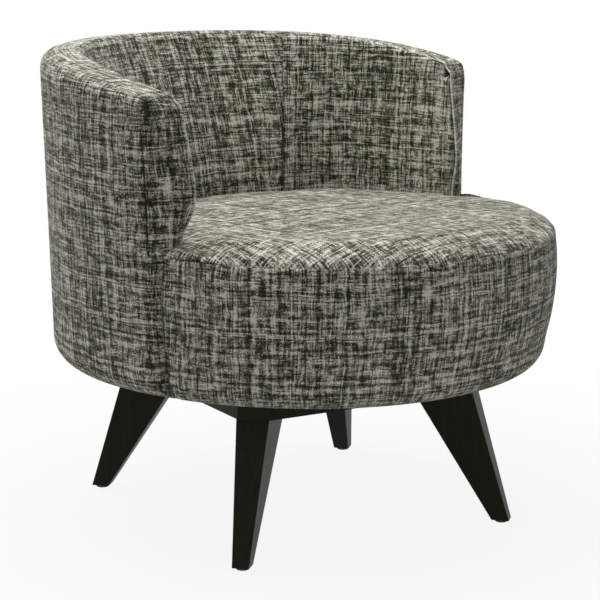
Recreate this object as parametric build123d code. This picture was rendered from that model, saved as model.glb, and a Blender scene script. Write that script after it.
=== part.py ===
from build123d import *

import os
from math import cos, pi, radians, sin, sqrt

# Round tub chair that swivels on a board with four splayed wooden legs.
# Millimetres, +Z up, origin on the floor under the swivel, the sitter faces -Y.
# Angles called "bearing" count from the front (-Y) towards the sitter's left (+X).
# Angles called "swing" count from the centre of the back (+Y) towards +X.

# Legs and their glides
LEG_COUNT = 4
BASE_TURN = -20.25
LEG_HEIGHT = 196.0
LEG_TOP_INNER_R = 173.0
LEG_TOP_DEPTH = 91.0
LEG_FOOT_INNER_R = 297.0
LEG_FOOT_DEPTH = 26.0
LEG_TOP_WIDTH = 47.0
LEG_FOOT_WIDTH = 24.0
LEG_EDGE = 1.5
GLIDE_HEIGHT = 4.0
GLIDE_R = 9.5
GLIDE_EDGE = 1.0
GLIDE_PIN_R = 1.6
GLIDE_PIN_LENGTH = 16.0

# Base board under the swivel
BOARD_SIDE = 412.0
BOARD_CORNER_LIP = 8.0
BOARD_THICKNESS = 22.0
LEG_SCREW_R = 3.0
LEG_SCREW_HEAD_R = 6.0
LEG_SCREW_BITE = 40.0
LEG_SCREW_SETBACKS = (43.0, 73.0)

# Swivel bearing
PLATE_SIDE = 203.0
PLATE_CORNER_R = 12.0
PLATE_THICKNESS = 3.0
PLATE_GAP = 10.0
RACE_R = 78.0
RACE_DEPTH = 0.6
RACE_CLEARANCE = 0.05
BALL_COUNT = 24
CAGE_WIDTH = 20.0
CAGE_THICKNESS = 2.0
CAGE_CLEARANCE = 0.25
PIVOT_R = 12.0
PIVOT_BORE_R = 6.0
PIVOT_FLANGE_R = 18.0
PIVOT_FLANGE_THICKNESS = 3.0
PIVOT_CLEARANCE = 0.06
PIVOT_END_PLAY = 0.1
PIVOT_WELL_CLEARANCE = 6.0
PLATE_FIXING_INSET = 16.5
PLATE_SCREW_R = 2.5
PLATE_SCREW_HEAD_R = 5.0
PLATE_SCREW_HEAD = 3.0
PLATE_SCREW_BITE = 15.0
PLATE_BOLT_R = 4.0
PLATE_BOLT_HEAD_R = 7.0
PLATE_BOLT_HEAD = 3.5
TEE_NUT_R = 5.5
TEE_NUT_FLANGE_R = 11.0
TEE_NUT_FLANGE = 1.5

# Wooden seat frame
FRAME_R = 326.0
SEAT_BOARD_THICKNESS = 15.0
POST_HEIGHT = 92.0
POST_COUNT = 8
POST_SETBACK = 38.0
POST_DEPTH = 32.0
POST_WIDTH = 45.0
DECK_RING_THICKNESS = 18.0
DECK_RING_WIDTH = 76.0
FRAME_SCREW_R = 2.5
FRAME_SCREW_HEAD_R = 5.0
FRAME_SCREW_BITE = 28.0
FRONT_PLY_THICKNESS = 6.0
FRONT_PLY_HALF_ARC = 78.0

# Seat springs
SPRING_COUNT = 5
SPRING_SPACING = 78.0
SPRING_WIRE = 3.8
SPRING_CROSS_RUN = 24.0
SPRING_PITCH = 24.0
SPRING_LANDING = 14.0
CLIP_THICKNESS = 1.2
CLIP_LENGTH = 16.0
CLIP_WIDTH = 12.0
CLIP_CLEARANCE = 0.1
SPRING_PAD_THICKNESS = 3.0

# Upholstered seat drum: paddings are measured from the frame, heights from what they rest on
COVER = 2.5
BOXING_PADDING = 30.0
BOXING_FLAT_MARGIN = 1.0
BOXING_BEND = 36.0
BOXING_BULGE = 13.0
BOXING_BULGE_RISE = 88.0
BOXING_SEAM_OVERHANG = 9.0
BOXING_UNDERTURN = 35.0
SEAM_DEPTH = 2.0
SEAM_WIDTH = 3.0
SEAT_FOAM_EDGE = 68.6
SEAT_EDGE_ROUND = 10.5
SEAT_EDGE_REACH = 24.0
SEAT_CROWN = 6.0
SIDE_DRAW_IN = 5.0
SIDE_DRAW_IN_START = 66.0
DUST_COVER_THICKNESS = 1.0
DUST_COVER_MARGIN = 4.0
DUST_COVER_CLEARANCE = 8.0

# Tub back and arms
TUB_PADDING = 26.8
TUB_FLARE = 0.0387
TUB_PLY_THICKNESS = 9.0
TUB_PLY_GAP = 0.2
TUB_PLY_RAISE = 4.0
TUB_PLY_RIM_COVER = 24.0
TUB_PLY_END_COVER = 26.0
BACK_RISE = 244.0
RIM_THICKNESS = 62.9
RIM_DROP = 38.0
RIM_DROP_REACH = 412.0
RIM_DROP_POWER = 2.5
RIM_ROUND = 22.0
RIM_INNER_ROUND = 9.0
RIM_CROWN = 2.0
RIM_SEAM_DROP = 4.0
ARM_THICKNESS = 52.0
ARM_FULL_SWING = 66.0
BACK_SEAM_SWING = 45.4
BACK_SEAM_PAD = 39.0
BACK_CENTRE_PAD = 74.0
BACK_PAD_POWER = 1.3
BACK_CROWN = 7.0
SEAT_TUCK = 2.0
PAD_SEAT_LAP = 27.6
ARM_END_INNER_F = 75.0
ARM_END_OUTER_F = 35.0
ARM_END_OUTER_REACH = 8.0
ARM_END_SPREAD = 44.0
ARM_END_RAKE_INNER = 0.15
ARM_END_RAKE_OUTER = -0.01
ARM_END_ROUND = 22.0
ARM_TOP_ROUND = 12.0
ARM_FOAM_OVER_UPRIGHT = 10.0
SEAT_FOAM_SETBACK = 3.0
UPRIGHT_WIDTH = 45.0
UPRIGHT_RIM_COVER = 52.0
BACK_UPRIGHT_SWINGS = (-34.0, 0.0, 34.0)
ARM_UPRIGHT_SWING = 86.0
SOFT_GAP = 0.3

# Heights worked out from the sizes above, from the floor up
BOARD_LOW = GLIDE_HEIGHT + LEG_HEIGHT
BOARD_TOP = BOARD_LOW + BOARD_THICKNESS
LOWER_PLATE_TOP = BOARD_TOP + PLATE_THICKNESS
BALL_Z = LOWER_PLATE_TOP + PLATE_GAP / 2
UPPER_PLATE_LOW = LOWER_PLATE_TOP + PLATE_GAP
SEAT_BOARD_LOW = UPPER_PLATE_LOW + PLATE_THICKNESS
SEAT_BOARD_TOP = SEAT_BOARD_LOW + SEAT_BOARD_THICKNESS
DECK_LOW = SEAT_BOARD_TOP + POST_HEIGHT
DECK_TOP = DECK_LOW + DECK_RING_THICKNESS
SPRING_Z = DECK_TOP + CLIP_THICKNESS + CLIP_CLEARANCE + SPRING_WIRE / 2
CLIP_TOP = SPRING_Z + SPRING_WIRE / 2 + CLIP_CLEARANCE + CLIP_THICKNESS
SEAT_FOAM_LOW = CLIP_TOP + SPRING_PAD_THICKNESS
PAD_BOTTOM_Z = SEAT_FOAM_LOW + PAD_SEAT_LAP
SEAT_EDGE_Z = SEAT_FOAM_LOW + SEAT_FOAM_EDGE
DRUM_SEAM_Z = SEAT_EDGE_Z - SEAT_EDGE_ROUND
INNER_SEAT_LEVEL = SEAT_EDGE_Z + SEAT_TUCK
RIM_HEIGHT = SEAT_EDGE_Z + BACK_RISE
DRUM_LOW = SEAT_BOARD_LOW - COVER
DRUM_LOW_Z = SEAT_BOARD_LOW + BOXING_BEND
DRUM_BULGE_Z = DRUM_LOW_Z + BOXING_BULGE_RISE

# Radii worked out from the sizes above, from the frame outwards and inwards
BALL_R = PLATE_GAP / 2 + RACE_DEPTH - RACE_CLEARANCE
PLATE_FIXING_SPACING = PLATE_SIDE - 2 * PLATE_FIXING_INSET
LEG_TOP_OUTER_R = LEG_TOP_INNER_R + LEG_TOP_DEPTH
BOARD_CORNER_R = LEG_TOP_OUTER_R + BOARD_CORNER_LIP
POST_R = FRAME_R - POST_SETBACK
DECK_OPENING_R = FRAME_R - DECK_RING_WIDTH
FRONT_PLY_R = FRAME_R + FRONT_PLY_THICKNESS
DRUM_FLAT_R = FRONT_PLY_R + BOXING_FLAT_MARGIN
DRUM_LOW_R = FRONT_PLY_R + BOXING_PADDING
DRUM_BULGE_R = DRUM_LOW_R + BOXING_BULGE
DRUM_SEAM_R = DRUM_LOW_R + BOXING_SEAM_OVERHANG
SEAT_EDGE_R = DRUM_SEAM_R - SEAT_EDGE_REACH
SIDE_DRAW_IN_R = DRUM_LOW_R - SIDE_DRAW_IN
UNDERTURN_R = FRAME_R - BOXING_UNDERTURN
DUST_COVER_OUTER_R = FRAME_R - DUST_COVER_MARGIN
DUST_COVER_INNER_R = PLATE_SIDE / sqrt(2) + DUST_COVER_CLEARANCE
TUB_PLY_R = FRAME_R + TUB_PLY_GAP
TUB_LOW_R = TUB_PLY_R + TUB_PLY_THICKNESS + TUB_PADDING
RIM_OUTER_R = TUB_LOW_R + TUB_FLARE * (RIM_HEIGHT - DRUM_LOW_Z)
RIM_INNER_R = RIM_OUTER_R - RIM_THICKNESS
ARM_INNER_R = TUB_LOW_R - ARM_THICKNESS
ARM_END_OUTER_R = TUB_LOW_R + ARM_END_OUTER_REACH
BACK_SEAM_R = ARM_INNER_R - BACK_SEAM_PAD
BACK_CENTRE_R = ARM_INNER_R - BACK_CENTRE_PAD
UPRIGHT_INNER_R = ARM_INNER_R + ARM_FOAM_OVER_UPRIGHT
SEAT_FOAM_REAR_R = UPRIGHT_INNER_R - SEAT_FOAM_SETBACK

# Room for cutting solids, past every face they cut
FAR_R = RIM_OUTER_R + 62.0
FAR_SIDE = RIM_OUTER_R + 180.0
FAR_HIGH = RIM_HEIGHT + 75.0
FAR_LOW = BOARD_LOW - 10.0
ARM_PAST_END_SWING = 106.0

LEG_NAMES = ("leg_front_left", "leg_rear_left", "leg_rear_right", "leg_front_right")
LEG_BEARINGS = [360 / LEG_COUNT * (i + 0.5) + BASE_TURN for i in range(LEG_COUNT)]
SIDES = (("left", 1), ("right", -1))


def bearing(angle):
    """Turn a shape drawn along +X to a bearing counted from the front."""
    return Rot(0, 0, angle - 90)


def disc(radius, low, high):
    """Upright cylinder on the swivel axis."""
    return Pos(0, 0, (low + high) / 2) * Cylinder(radius, high - low)


def ring(inner, outer, low, high):
    """Upright ring on the swivel axis."""
    return disc(outer, low, high) - disc(inner, low, high)


def slab(low, high):
    """Everything between two heights."""
    return Pos(0, 0, (low + high) / 2) * Box(2 * FAR_SIDE, 2 * FAR_SIDE, high - low)


def turned(edges):
    """Solid of revolution from a half outline of (radius, height) edges."""
    return revolve(Plane.XZ * make_face(edges), Axis.Z)


def across(edges):
    """Everything inside an outline of (forward, height) edges, seen from the side."""
    side = Plane(origin=(FAR_SIDE, 0, 0), x_dir=(0, -1, 0), z_dir=(-1, 0, 0))
    return extrude(side * make_face(edges), 2 * FAR_SIDE)


def square_points(spacing):
    """Corners of a square on the swivel axis."""
    half = spacing / 2
    return [(half, half), (-half, half), (-half, -half), (half, -half)]


def flat_head_screw(radius, head_r, length):
    """Countersunk screw with its head's face at the origin, pointing down."""
    cone = head_r - radius
    head = Pos(0, 0, -cone / 2) * Cone(radius, head_r, cone)
    return head + Pos(0, 0, -length / 2) * Cylinder(radius, length)


def cap_screw(radius, head_r, head, length):
    """Cap screw with its head on the origin's plane, pointing down."""
    return Pos(0, 0, head / 2) * Cylinder(head_r, head) + Pos(0, 0, -length / 2) * Cylinder(radius, length)


# Base: legs, glides, board and their screws


def leg_screw_set(angle):
    """The screws of one leg, down through the board."""
    screw = flat_head_screw(LEG_SCREW_R, LEG_SCREW_HEAD_R, BOARD_THICKNESS + LEG_SCREW_BITE)
    radii = [LEG_TOP_INNER_R + setback for setback in LEG_SCREW_SETBACKS]
    return [bearing(angle) * Pos(r, 0, BOARD_TOP) * screw for r in radii]


def glide(angle):
    """Nail-on glide: a dished pad with its pin."""
    centre = LEG_FOOT_INNER_R + LEG_FOOT_DEPTH / 2
    pad = Pos(0, 0, GLIDE_HEIGHT / 2) * Cylinder(GLIDE_R, GLIDE_HEIGHT)
    pad = chamfer(pad.edges().group_by(Axis.Z)[0], GLIDE_EDGE)
    pin_top = GLIDE_HEIGHT + GLIDE_PIN_LENGTH
    pin = Pos(0, 0, pin_top / 2) * Cylinder(GLIDE_PIN_R, pin_top)
    return bearing(angle) * Pos(centre, 0, 0) * (pad + pin)


def leg(angle):
    """Leg splayed outwards and tapered both ways."""
    top_mid = LEG_TOP_INNER_R + LEG_TOP_DEPTH / 2
    foot_mid = LEG_FOOT_INNER_R + LEG_FOOT_DEPTH / 2
    top = Pos(top_mid, 0, BOARD_LOW) * Rectangle(LEG_TOP_DEPTH, LEG_TOP_WIDTH)
    foot = Pos(foot_mid, 0, GLIDE_HEIGHT) * Rectangle(LEG_FOOT_DEPTH, LEG_FOOT_WIDTH)
    body = loft([foot, top], ruled=True)
    body = fillet(body.edges().filter_by(Plane.XY, reverse=True), LEG_EDGE)
    return bearing(angle) * body


def base_board():
    """Square board with its corners cut off flush with the legs."""
    square = Rectangle(BOARD_SIDE, BOARD_SIDE)
    corner = Rot(0, 0, 45) * Rectangle(2 * BOARD_CORNER_R, 2 * BOARD_CORNER_R)
    board = extrude(Pos(0, 0, BOARD_LOW) * (square & corner), BOARD_THICKNESS)
    return Rot(0, 0, BASE_TURN) * board - disc(PIVOT_FLANGE_R + PIVOT_WELL_CLEARANCE, BOARD_LOW, BOARD_TOP)


# Swivel bearing


def race():
    """Ball track: the torus that the balls run in."""
    return Pos(0, 0, BALL_Z) * Torus(RACE_R, BALL_R + RACE_CLEARANCE)


def swivel_plate(low, bore_r):
    """Pressed square plate with a round bore and its half of the ball track."""
    outline = RectangleRounded(PLATE_SIDE, PLATE_SIDE, PLATE_CORNER_R)
    plate = extrude(Pos(0, 0, low) * outline, PLATE_THICKNESS)
    return plate - disc(bore_r, low, low + PLATE_THICKNESS) - race()


def bearing_balls():
    """Balls spaced evenly round the track."""
    ball = Pos(RACE_R, 0, BALL_Z) * Sphere(BALL_R)
    return [Rot(0, 0, 360 / BALL_COUNT * i) * ball for i in range(BALL_COUNT)]


def ball_cage():
    """Flat ring with one window for each ball."""
    low = BALL_Z - CAGE_THICKNESS / 2
    cage = ring(RACE_R - CAGE_WIDTH / 2, RACE_R + CAGE_WIDTH / 2, low, low + CAGE_THICKNESS)
    window = Pos(RACE_R, 0, BALL_Z) * Cylinder(BALL_R + CAGE_CLEARANCE, CAGE_THICKNESS)
    for i in range(BALL_COUNT):
        cage -= Rot(0, 0, 360 / BALL_COUNT * i) * window
    return cage


def pivot_rivet():
    """Hollow rivet that is set in the lower plate and keeps the upper one down."""
    upper_flange = SEAT_BOARD_LOW + PIVOT_END_PLAY
    shank = disc(PIVOT_R, BOARD_TOP - PIVOT_FLANGE_THICKNESS, upper_flange + PIVOT_FLANGE_THICKNESS)
    foot = disc(PIVOT_FLANGE_R, BOARD_TOP - PIVOT_FLANGE_THICKNESS, BOARD_TOP)
    head = disc(PIVOT_FLANGE_R, upper_flange, upper_flange + PIVOT_FLANGE_THICKNESS)
    return shank + foot + head - disc(PIVOT_BORE_R, FAR_LOW, FAR_HIGH)


def lower_plate_screws():
    """Screws that hold the lower plate on the base board."""
    length = PLATE_THICKNESS + PLATE_SCREW_BITE
    screw = cap_screw(PLATE_SCREW_R, PLATE_SCREW_HEAD_R, PLATE_SCREW_HEAD, length)
    turn = Rot(0, 0, BASE_TURN)
    return [turn * Pos(x, y, LOWER_PLATE_TOP) * screw for x, y in square_points(PLATE_FIXING_SPACING)]


def upper_plate_bolts():
    """Bolts that hold the upper plate under the seat board, heads down."""
    length = PLATE_THICKNESS + SEAT_BOARD_THICKNESS
    bolt = Rot(180, 0, 0) * cap_screw(PLATE_BOLT_R, PLATE_BOLT_HEAD_R, PLATE_BOLT_HEAD, length)
    return [Pos(x, y, UPPER_PLATE_LOW) * bolt for x, y in square_points(PLATE_FIXING_SPACING)]


def tee_nuts():
    """Flanged nuts pressed into the seat board from above."""
    barrel = Pos(0, 0, -SEAT_BOARD_THICKNESS / 2) * Cylinder(TEE_NUT_R, SEAT_BOARD_THICKNESS)
    flange = Pos(0, 0, TEE_NUT_FLANGE / 2) * Cylinder(TEE_NUT_FLANGE_R, TEE_NUT_FLANGE)
    height = SEAT_BOARD_THICKNESS + TEE_NUT_FLANGE
    bore = Pos(0, 0, height / 2 - SEAT_BOARD_THICKNESS) * Cylinder(PLATE_BOLT_R, height)
    nut = barrel + flange - bore
    return [Pos(x, y, SEAT_BOARD_TOP) * nut for x, y in square_points(PLATE_FIXING_SPACING)]


# Wooden seat frame


def post_places():
    """Where the frame posts stand, evenly round the seat board."""
    return [bearing(360 / POST_COUNT * (i + 0.5)) * Pos(POST_R, 0, 0) for i in range(POST_COUNT)]


def frame_posts():
    """Short posts between the seat board and the deck ring."""
    post = Pos(0, 0, SEAT_BOARD_TOP + POST_HEIGHT / 2) * Box(POST_DEPTH, POST_WIDTH, POST_HEIGHT)
    return [place * post for place in post_places()]


def frame_screws():
    """A screw into each end of each post."""
    long = flat_head_screw(FRAME_SCREW_R, FRAME_SCREW_HEAD_R, DECK_RING_THICKNESS + FRAME_SCREW_BITE)
    short = flat_head_screw(FRAME_SCREW_R, FRAME_SCREW_HEAD_R, SEAT_BOARD_THICKNESS + FRAME_SCREW_BITE)
    from_above = Pos(0, 0, DECK_TOP) * long
    from_below = Pos(0, 0, SEAT_BOARD_LOW) * Rot(180, 0, 0) * short
    return [place * end for place in post_places() for end in (from_above, from_below)]


def seat_board():
    """Round board at the bottom of the seat."""
    well_r = PIVOT_FLANGE_R + PIVOT_WELL_CLEARANCE
    board = ring(well_r, FRAME_R, SEAT_BOARD_LOW, SEAT_BOARD_TOP)
    for x, y in square_points(PLATE_FIXING_SPACING):
        board -= Pos(x, y, (SEAT_BOARD_LOW + SEAT_BOARD_TOP) / 2) * Cylinder(TEE_NUT_R, SEAT_BOARD_THICKNESS)
    return board


def front_ply():
    """Bent facing round the front of the frame, behind the boxing."""
    half = FRONT_PLY_HALF_ARC
    middle = Pos((FRAME_R + FRONT_PLY_R) / 2, (SEAT_FOAM_LOW + SEAT_BOARD_LOW) / 2)
    strip = middle * Rectangle(FRONT_PLY_THICKNESS, SEAT_FOAM_LOW - SEAT_BOARD_LOW)
    return bearing(-half) * revolve(Plane.XZ * strip, Axis.Z, 2 * half)


# Seat springs


def spring_half_span(x):
    """From the middle of a spring to its clip, past the deck opening's edge."""
    return sqrt(DECK_OPENING_R**2 - x**2) + SPRING_LANDING


def seat_spring(x):
    """Flat zigzag wire from the front of the deck ring to the back."""
    half = spring_half_span(x)
    runs = 2 * round(half / SPRING_PITCH)
    pitch = 2 * half / runs
    side = SPRING_CROSS_RUN / 2
    edges = []
    for i in range(runs + 1):
        y = i * pitch - half
        edges.append(Line((x - side, y, SPRING_Z), (x + side, y, SPRING_Z)))
        if i < runs:
            end = x + side
            bulge = end + pitch / 2 * (1 if side > 0 else -1)
            turn = [(end, y), (bulge, y + pitch / 2), (end, y + pitch)]
            edges.append(ThreePointArc(*[(u, v, SPRING_Z) for u, v in turn]))
        side = -side
    start = Plane(origin=edges[0] @ 0, z_dir=edges[0] % 0)
    return sweep(start * Circle(SPRING_WIRE / 2), path=Wire(edges))


def spring_places():
    """Sideways place of each spring."""
    return [(i - (SPRING_COUNT - 1) / 2) * SPRING_SPACING for i in range(SPRING_COUNT)]


def spring_clips():
    """Clips that hold the springs' end runs down on the deck ring."""
    outer = Box(CLIP_LENGTH, CLIP_WIDTH, CLIP_TOP - DECK_TOP)
    room = SPRING_WIRE + 2 * CLIP_CLEARANCE
    clip = outer - Pos(0, -CLIP_THICKNESS, 0) * Box(CLIP_LENGTH, CLIP_WIDTH, room)
    height = (CLIP_TOP + DECK_TOP) / 2
    back = CLIP_WIDTH / 2 - CLIP_THICKNESS - SPRING_WIRE / 2 - CLIP_CLEARANCE
    clips = []
    for x in spring_places():
        half = spring_half_span(x)
        clips.append(Pos(x, half - back, height) * clip)
        clips.append(Pos(x, back - half, height) * Rot(0, 0, 180) * clip)
    return clips


# Seat drum: crowned top, bulging boxing and the seam between them


def drum(inset):
    """The whole seat drum, drawn in from its outer face by the inset."""
    low = DRUM_LOW + inset
    bend = DRUM_LOW_R - inset
    corner = (DRUM_FLAT_R + (bend - DRUM_FLAT_R) * cos(pi / 4), DRUM_LOW_Z - (DRUM_LOW_Z - low) * sin(pi / 4))
    lower_lip = (DRUM_SEAM_R - inset, DRUM_SEAM_Z)
    upper_lip = (DRUM_SEAM_R - inset, DRUM_SEAM_Z + SEAM_WIDTH)
    groove = (DRUM_SEAM_R - inset - SEAM_DEPTH, DRUM_SEAM_Z + SEAM_WIDTH / 2)
    edge = (SEAT_EDGE_R, SEAT_EDGE_Z - inset)
    rise = SEAT_EDGE_Z - DRUM_SEAM_Z - SEAM_WIDTH - inset
    reach = DRUM_SEAM_R - inset - SEAT_EDGE_R
    shoulder = (SEAT_EDGE_R + reach * sin(pi / 4), upper_lip[1] + rise * cos(pi / 4))
    crown = SEAT_EDGE_Z + SEAT_CROWN - inset
    dome_r = (SEAT_EDGE_R**2 + SEAT_CROWN**2) / (2 * SEAT_CROWN)
    halfway = (SEAT_EDGE_R / 2, crown - dome_r + sqrt(dome_r**2 - SEAT_EDGE_R**2 / 4))
    return turned(
        [
            Line((0, low), (DRUM_FLAT_R, low)),
            ThreePointArc((DRUM_FLAT_R, low), corner, (bend, DRUM_LOW_Z)),
            ThreePointArc((bend, DRUM_LOW_Z), (DRUM_BULGE_R - inset, DRUM_BULGE_Z), lower_lip),
            Line(lower_lip, groove),
            Line(groove, upper_lip),
            ThreePointArc(upper_lip, shoulder, edge),
            ThreePointArc(edge, halfway, (0, crown)),
            Line((0, crown), (0, low)),
        ]
    )


def drawn_in_sides(inset):
    """Plan of the seat, pulled in where the boxing runs in beside the arms."""
    start = radians(SIDE_DRAW_IN_START)
    full = DRUM_BULGE_R + COVER - inset
    near = (full * sin(start), -full * cos(start))
    side = (SIDE_DRAW_IN_R - inset, -ARM_END_OUTER_F)
    plan = make_face(
        [
            ThreePointArc((-near[0], near[1]), (0, -full), near),
            Line(near, side),
            Line(side, (side[0], FAR_R)),
            Line((side[0], FAR_R), (-side[0], FAR_R)),
            Line((-side[0], FAR_R), (-side[0], side[1])),
            Line((-side[0], side[1]), (-near[0], near[1])),
        ]
    )
    return extrude(Pos(0, 0, FAR_LOW) * plan, FAR_HIGH - FAR_LOW)


def behind_arm_ends(forward):
    """Everything behind the arms' end faces, carried down past the seat."""
    inner, outer = ARM_END_INNER_F + forward, ARM_END_OUTER_F + forward
    slope = (inner - outer) / (ARM_END_OUTER_R - ARM_INNER_R)
    tip = inner + slope * ARM_INNER_R
    side = outer - slope * (FAR_SIDE - ARM_END_OUTER_R)
    points = [(-FAR_SIDE, FAR_SIDE), (FAR_SIDE, FAR_SIDE), (FAR_SIDE, -side), (0, -tip), (-FAR_SIDE, -side)]
    plan = make_face(Polyline(*points, close=True))
    return extrude(Pos(0, 0, FAR_LOW) * plan, FAR_HIGH - FAR_LOW)


def tub_room():
    """The solids of the room that the tub takes from the seat drum."""
    height = FAR_HIGH - PAD_BOTTOM_Z

    def section(swing):
        low_r = inner_seat_r(swing) - SOFT_GAP
        middle = Pos((low_r + FAR_R) / 2, PAD_BOTTOM_Z + height / 2)
        return swing_plane(swing) * middle * Rectangle(FAR_R - low_r, height)

    behind = behind_arm_ends(SOFT_GAP)
    arm = loft([section(swing) for swing in arm_swings()]) & behind
    below = ring(SEAT_FOAM_REAR_R, FAR_R, FAR_LOW, PAD_BOTTOM_Z) & behind
    return [loft([section(swing) for swing in back_swings()]), arm, mirror(arm, Plane.YZ), below]


# Tub: radial sections lofted round the back and along the arms


def swing_plane(swing):
    """Radial plane at a swing from the centre of the back: x is radius, y is height."""
    angle = radians(swing)
    return Plane(origin=(0, 0, 0), x_dir=(sin(angle), cos(angle), 0), z_dir=(cos(angle), -sin(angle), 0))


def back_swings():
    """Swings of the sections across the centre back, from seam to seam."""
    return [BACK_SEAM_SWING * share for share in (-1, -0.7, -0.35, 0, 0.35, 0.7, 1)]


def arm_swings():
    """Swings of the sections along an arm, from the back seam to past its end."""
    reach = ARM_PAST_END_SWING - BACK_SEAM_SWING
    return [BACK_SEAM_SWING + reach * share for share in (0, 0.14, 0.3, 0.5, 0.72, 1)]


def inner_seat_r(swing):
    """Radius of the tub's inside at the seat: thick at the back, thin at the arms."""
    turn = abs(swing)
    if turn <= BACK_SEAM_SWING:
        share = (turn / BACK_SEAM_SWING) ** BACK_PAD_POWER
        return BACK_CENTRE_R + (BACK_SEAM_R - BACK_CENTRE_R) * share
    left = max(0.0, (ARM_FULL_SWING - turn) / (ARM_FULL_SWING - BACK_SEAM_SWING))
    return ARM_INNER_R - (ARM_INNER_R - BACK_SEAM_R) * left**2


def rim_height(forward):
    """Height of the rim, level round the back and falling along the arms."""
    share = max(0.0, (forward + tub_outer_r(RIM_HEIGHT)) / RIM_DROP_REACH)
    return RIM_HEIGHT - RIM_DROP * share**RIM_DROP_POWER


def tub_outer_r(height):
    """Outside radius of the flared wall."""
    return TUB_LOW_R + TUB_FLARE * (height - DRUM_LOW_Z)


def tub_section(swing, inset):
    """Outline of the padded wall in one radial plane."""
    forward = -(RIM_INNER_R + tub_outer_r(RIM_HEIGHT)) / 2 * cos(radians(swing))
    rim = rim_height(forward) - inset
    low = DRUM_LOW + inset
    turn = RIM_ROUND - inset
    bevel = turn * (1 - sin(pi / 4))
    shoulder_z = rim - turn
    inner_turn = RIM_INNER_ROUND - inset
    inner_bevel = inner_turn * (1 - sin(pi / 4))
    out_r = tub_outer_r(shoulder_z) - inset
    in_r = RIM_INNER_R + inset
    seat_r = inner_seat_r(swing) + inset
    bend = TUB_LOW_R - inset
    corner = (DRUM_FLAT_R + (bend - DRUM_FLAT_R) * cos(pi / 4), DRUM_LOW_Z - (DRUM_LOW_Z - low) * sin(pi / 4))
    outer_shoulder = (out_r, shoulder_z)
    outer_top = (out_r - turn, rim)
    inner_top = (in_r + inner_turn, rim)
    inner_shoulder = (in_r, rim - inner_turn)
    seat_point = (seat_r, INNER_SEAT_LEVEL)
    wall_mid = ((in_r + seat_r - BACK_CROWN) / 2, (inner_shoulder[1] + INNER_SEAT_LEVEL) / 2)
    outline = [
        Line((seat_r, low), (DRUM_FLAT_R, low)),
        ThreePointArc((DRUM_FLAT_R, low), corner, (bend, DRUM_LOW_Z)),
        Line((bend, DRUM_LOW_Z), outer_shoulder),
        ThreePointArc(outer_shoulder, (out_r - bevel, rim - bevel), outer_top),
        ThreePointArc(outer_top, ((outer_top[0] + inner_top[0]) / 2, rim + RIM_CROWN), inner_top),
        ThreePointArc(inner_top, (in_r + inner_bevel, rim - inner_bevel), inner_shoulder),
        ThreePointArc(inner_shoulder, wall_mid, seat_point),
        Line(seat_point, (seat_r, low)),
    ]
    return swing_plane(swing) * make_face(outline)


def arm_end_plan(height, inset):
    """Plan of the tub behind its arm ends at one height, outer corners rounded."""
    rise = max(0.0, height - INNER_SEAT_LEVEL)
    inner = ARM_END_INNER_F - ARM_END_RAKE_INNER * rise - inset
    outer = ARM_END_OUTER_F - ARM_END_RAKE_OUTER * rise - inset
    side = tub_outer_r(height) - inset
    slope = (inner - outer) / (ARM_END_OUTER_R - ARM_INNER_R)
    tip = inner + slope * ARM_INNER_R
    corner = inner - slope * (side - ARM_INNER_R)
    spread = side + ARM_END_SPREAD
    points = [(-spread, FAR_SIDE), (spread, FAR_SIDE), (side, -corner), (0, -tip), (-side, -corner)]
    face = make_face(Polyline(*points, close=True))
    corners = face.vertices().filter_by_position(Axis.Y, -corner - 1, -corner + 1)
    return Pos(0, 0, height) * fillet(corners, ARM_END_ROUND - inset)


def arm_end_cutter(inset):
    """The room behind the arm ends: upright below the seat, raked above it."""
    levels = [FAR_LOW, INNER_SEAT_LEVEL, FAR_HIGH]
    return loft([arm_end_plan(z, inset) for z in levels], ruled=True)


def arm_top_corner(inset):
    """What is rounded off where the rim turns down into an arm's end."""
    top = rim_height(ARM_END_OUTER_F) - inset
    front = ARM_END_OUTER_F - inset
    centre = (front - ARM_TOP_ROUND, top - ARM_TOP_ROUND)
    past = ARM_TOP_ROUND * 2
    turn = ARM_TOP_ROUND * cos(pi / 4)
    start = (front, centre[1] - turn / 2)
    end = (centre[0] - turn / 2, top + turn / 2)
    shape = [
        ThreePointArc(start, (centre[0] + turn, centre[1] + turn), end),
        Line(end, (end[0], top + past)),
        Line((end[0], top + past), (front + past, top + past)),
        Line((front + past, top + past), (front + past, start[1])),
        Line((front + past, start[1]), start),
    ]
    return across(shape)


def tub_form(inset):
    """The padded tub as its centre back and its left arm, joined on the back seam."""
    centre = loft([tub_section(swing, inset) for swing in back_swings()])
    arm = loft([tub_section(swing, inset) for swing in arm_swings()])
    return centre, arm & arm_end_cutter(inset) - arm_top_corner(inset)


def flared(offset_in, offset_out):
    """Ring that flares with the tub's wall, by its offsets from the ply's inside."""
    start = TUB_PLY_R
    rise = TUB_FLARE * (FAR_HIGH - SEAT_BOARD_LOW)
    corners = [
        (start + offset_in, SEAT_BOARD_LOW),
        (start + offset_out, SEAT_BOARD_LOW),
        (start + offset_out + rise, FAR_HIGH),
        (start + offset_in + rise, FAR_HIGH),
    ]
    return turned(Polyline(*corners, close=True).edges())


def outside_room():
    """What lies outside the middle of the ply, and under the seat board's edge."""
    middle = flared(TUB_PLY_THICKNESS / 2, FAR_R - FRAME_R)
    under = ring(UNDERTURN_R, FAR_R, FAR_LOW, SEAT_BOARD_LOW)
    return middle + under


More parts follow.
